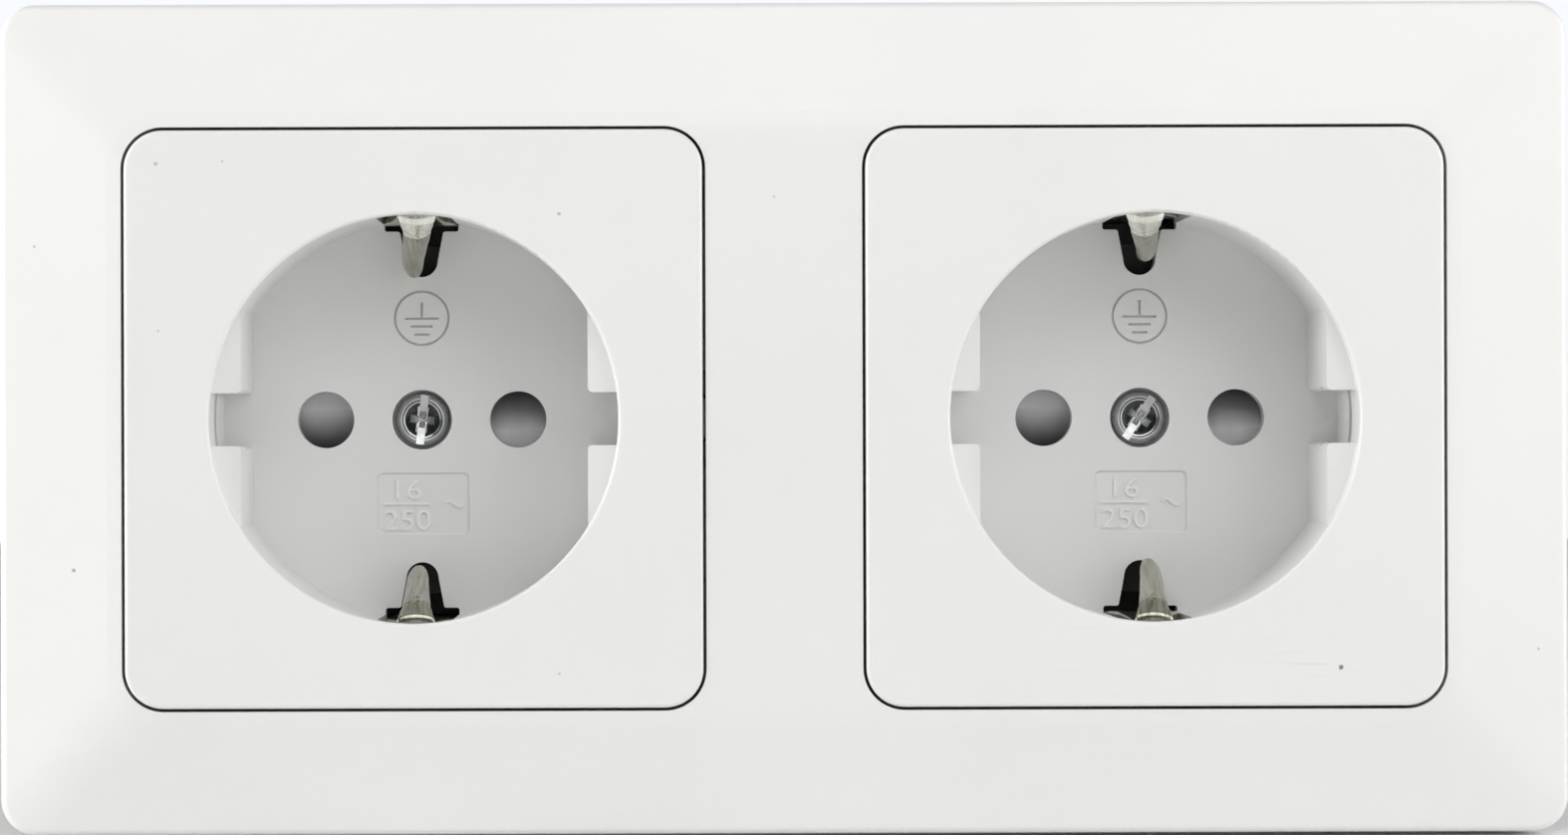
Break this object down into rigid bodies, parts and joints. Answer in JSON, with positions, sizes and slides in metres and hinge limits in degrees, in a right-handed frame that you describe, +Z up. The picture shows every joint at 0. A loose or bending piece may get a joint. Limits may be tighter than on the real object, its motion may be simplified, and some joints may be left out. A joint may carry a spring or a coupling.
{
  "type": "double socket outlet",
  "caption": "Flush-mounted twin earthed wall socket in a shared white frame, with shuttered pin holes, spring earth tongues, support plates and box claws.",
  "frame": {"origin": "centre of the frame's back, in the plane of the wall", "axes": "+X to the right seen from the room, +Y into the wall, +Z up"},
  "size_m": [0.151, 0.0414, 0.08],
  "materials": {
    "white_plastic": "satin gloss",
    "grey_plastic": "matt",
    "black_plastic": "matt",
    "zinc_steel": "zinc plated",
    "screw_steel": "zinc plated",
    "spring_steel": "bright",
    "nickel_brass": "nickel plated",
    "brass": "bright"
  },
  "bodies": {
    "housing": {"cover_frame": "white_plastic", "cover_left": "white_plastic", "shutter_spring_left": "spring_steel", "shutter_cap_left": "grey_plastic", "socket_base_left": "black_plastic", "support_plate_left": "zinc_steel", "earth_bracket_left": "nickel_brass", "live_contact_left": "brass", "neutral_contact_left": "brass", "cover_right": "white_plastic", "shutter_spring_right": "spring_steel", "shutter_cap_right": "grey_plastic", "socket_base_right": "black_plastic", "support_plate_right": "zinc_steel", "earth_bracket_right": "nickel_brass", "live_contact_right": "brass", "neutral_contact_right": "brass", "cover_screws": "screw_steel", "threaded_bushes": "brass", "terminal_screws": "screw_steel", "wire_clamps": "zinc_steel"},
    "shutter_left": {"shutter_left": "grey_plastic"},
    "claw_screw_left_a": {"claw_screw_left_a": "screw_steel"},
    "claw_left_a": {"claw_left_a": "zinc_steel"},
    "claw_screw_left_b": {"claw_screw_left_b": "screw_steel"},
    "claw_left_b": {"claw_left_b": "zinc_steel"},
    "shutter_right": {"shutter_right": "grey_plastic"},
    "claw_screw_right_a": {"claw_screw_right_a": "screw_steel"},
    "claw_right_a": {"claw_right_a": "zinc_steel"},
    "claw_screw_right_b": {"claw_screw_right_b": "screw_steel"},
    "claw_right_b": {"claw_right_b": "zinc_steel"}
  },
  "joints": [
    {"name": "shutter_turn_left", "type": "hinge", "parent": "housing", "child": "shutter_left", "pos_m": [-0.0355, 0.0116, 0], "axis": [0, 1, 0], "range_deg": [0, 38], "stiffness_Nm_per_rad": 0.006, "springref_deg": -11.46, "deforming": ["shutter_spring_left"]},
    {"name": "claw_screw_turn_left_a", "type": "hinge", "parent": "housing", "child": "claw_screw_left_a", "pos_m": [-0.0621, 0, 0], "axis": [0, 1, 0], "range_deg": [0, 540]},
    {"name": "claw_swing_left_a", "type": "hinge", "parent": "housing", "child": "claw_left_a", "pos_m": [-0.0597, 0.009, 0], "axis": [0, 0, 1], "range_deg": [0, 18]},
    {"name": "claw_screw_turn_left_b", "type": "hinge", "parent": "housing", "child": "claw_screw_left_b", "pos_m": [-0.0089, 0, 0], "axis": [0, 1, 0], "range_deg": [0, 540]},
    {"name": "claw_swing_left_b", "type": "hinge", "parent": "housing", "child": "claw_left_b", "pos_m": [-0.0113, 0.009, 0], "axis": [0, 0, -1], "range_deg": [0, 18]},
    {"name": "shutter_turn_right", "type": "hinge", "parent": "housing", "child": "shutter_right", "pos_m": [0.0355, 0.0116, 0], "axis": [0, 1, 0], "range_deg": [0, 38], "stiffness_Nm_per_rad": 0.006, "springref_deg": -11.46, "deforming": ["shutter_spring_right"]},
    {"name": "claw_screw_turn_right_a", "type": "hinge", "parent": "housing", "child": "claw_screw_right_a", "pos_m": [0.0089, 0, 0], "axis": [0, 1, 0], "range_deg": [0, 540]},
    {"name": "claw_swing_right_a", "type": "hinge", "parent": "housing", "child": "claw_right_a", "pos_m": [0.0113, 0.009, 0], "axis": [0, 0, 1], "range_deg": [0, 18]},
    {"name": "claw_screw_turn_right_b", "type": "hinge", "parent": "housing", "child": "claw_screw_right_b", "pos_m": [0.0621, 0, 0], "axis": [0, 1, 0], "range_deg": [0, 540]},
    {"name": "claw_swing_right_b", "type": "hinge", "parent": "housing", "child": "claw_right_b", "pos_m": [0.0597, 0.009, 0], "axis": [0, 0, -1], "range_deg": [0, 18]}
  ],
  "couplings": [
    {"joint": "claw_swing_left_a", "follows": "claw_screw_turn_left_a", "ratio": 0.033333},
    {"joint": "claw_swing_left_b", "follows": "claw_screw_turn_left_b", "ratio": 0.033333},
    {"joint": "claw_swing_right_a", "follows": "claw_screw_turn_right_a", "ratio": 0.033333},
    {"joint": "claw_swing_right_b", "follows": "claw_screw_turn_right_b", "ratio": 0.033333}
  ]
}
